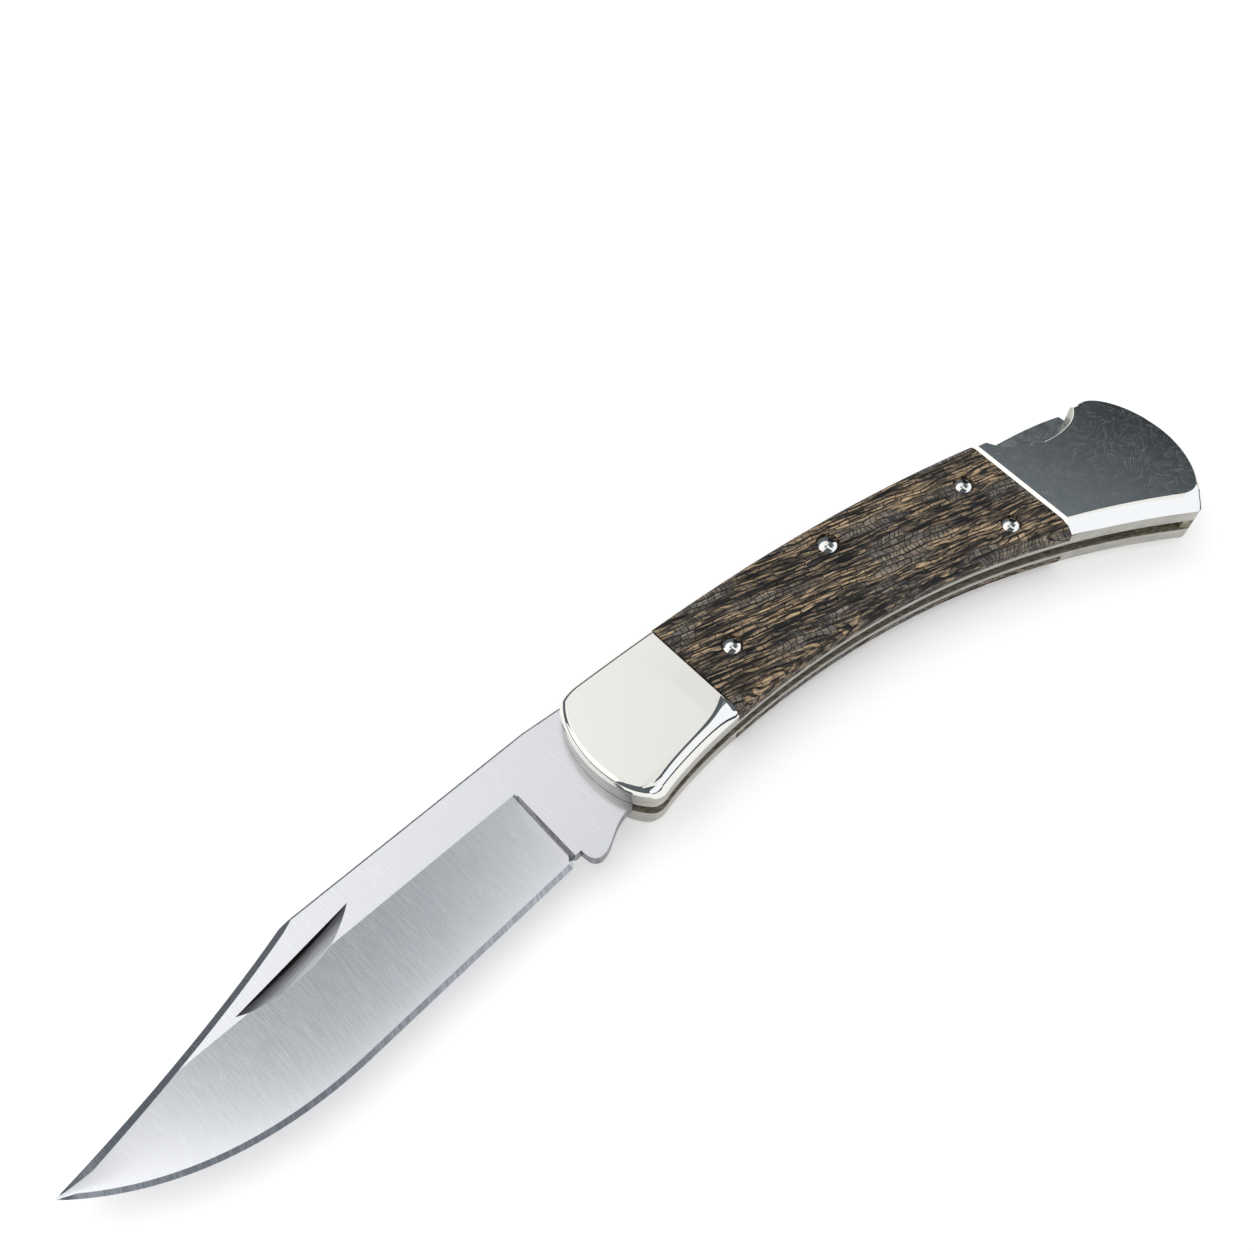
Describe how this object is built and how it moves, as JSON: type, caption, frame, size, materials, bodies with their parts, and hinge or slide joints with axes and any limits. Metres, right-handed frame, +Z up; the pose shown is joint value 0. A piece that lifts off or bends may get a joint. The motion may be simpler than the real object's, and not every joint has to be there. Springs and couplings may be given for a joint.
{
  "type": "folding pocket knife",
  "caption": "Lock-back folding knife, open: clip-point blade with nail nick, polished metal bolsters, dark wood scales, rocking lock bar with thumb notch.",
  "frame": {"origin": "on the blade's pivot axis, in the plane that the knife lies on (outer face of the lower front bolster)", "axes": "+X along the handle from the pivot towards the butt (the open blade points to -X), +Y towards the spine, +Z up through the handle's thickness"},
  "size_m": [0.2179, 0.051, 0.0124],
  "materials": {
    "blade_steel": "satin, brushed across the blade",
    "lock_steel": "fine ground",
    "spring_steel": "dull ground",
    "nickel_silver": "mirror polished",
    "dark_wood": "oiled and buffed"
  },
  "bodies": {
    "handle": {"lock_spring": "spring_steel", "butt_spacer": "nickel_silver", "pivot_pin": "lock_steel", "rocker_pin": "nickel_silver", "spring_pin": "nickel_silver", "spring_root_pin": "nickel_silver", "spacer_pin": "nickel_silver", "upper_liner": "nickel_silver", "upper_front_bolster": "nickel_silver", "upper_rear_bolster": "nickel_silver", "upper_scale": "dark_wood", "upper_front_scale_rivet": "nickel_silver", "upper_rear_scale_rivet": "nickel_silver", "upper_bolster_rivet": "nickel_silver", "lower_liner": "nickel_silver", "lower_front_bolster": "nickel_silver", "lower_rear_bolster": "nickel_silver", "lower_scale": "dark_wood", "lower_front_scale_rivet": "nickel_silver", "lower_rear_scale_rivet": "nickel_silver", "lower_bolster_rivet": "nickel_silver"},
    "blade": {"blade": "blade_steel"},
    "lockbar": {"lockbar": "lock_steel"}
  },
  "joints": [
    {"name": "blade_fold", "type": "hinge", "parent": "handle", "child": "blade", "pos_m": [0, 0, 0.0062], "axis": [0, 0, 1], "range_deg": [0, 168]},
    {"name": "lock_release", "type": "hinge", "parent": "handle", "child": "lockbar", "pos_m": [0.0502, 0.0038, 0.0062], "axis": [0, 0, 1], "range_deg": [-2.8, 0], "stiffness_Nm_per_rad": 1.2, "springref_deg": 22.92, "deforming": ["lock_spring"]}
  ]
}
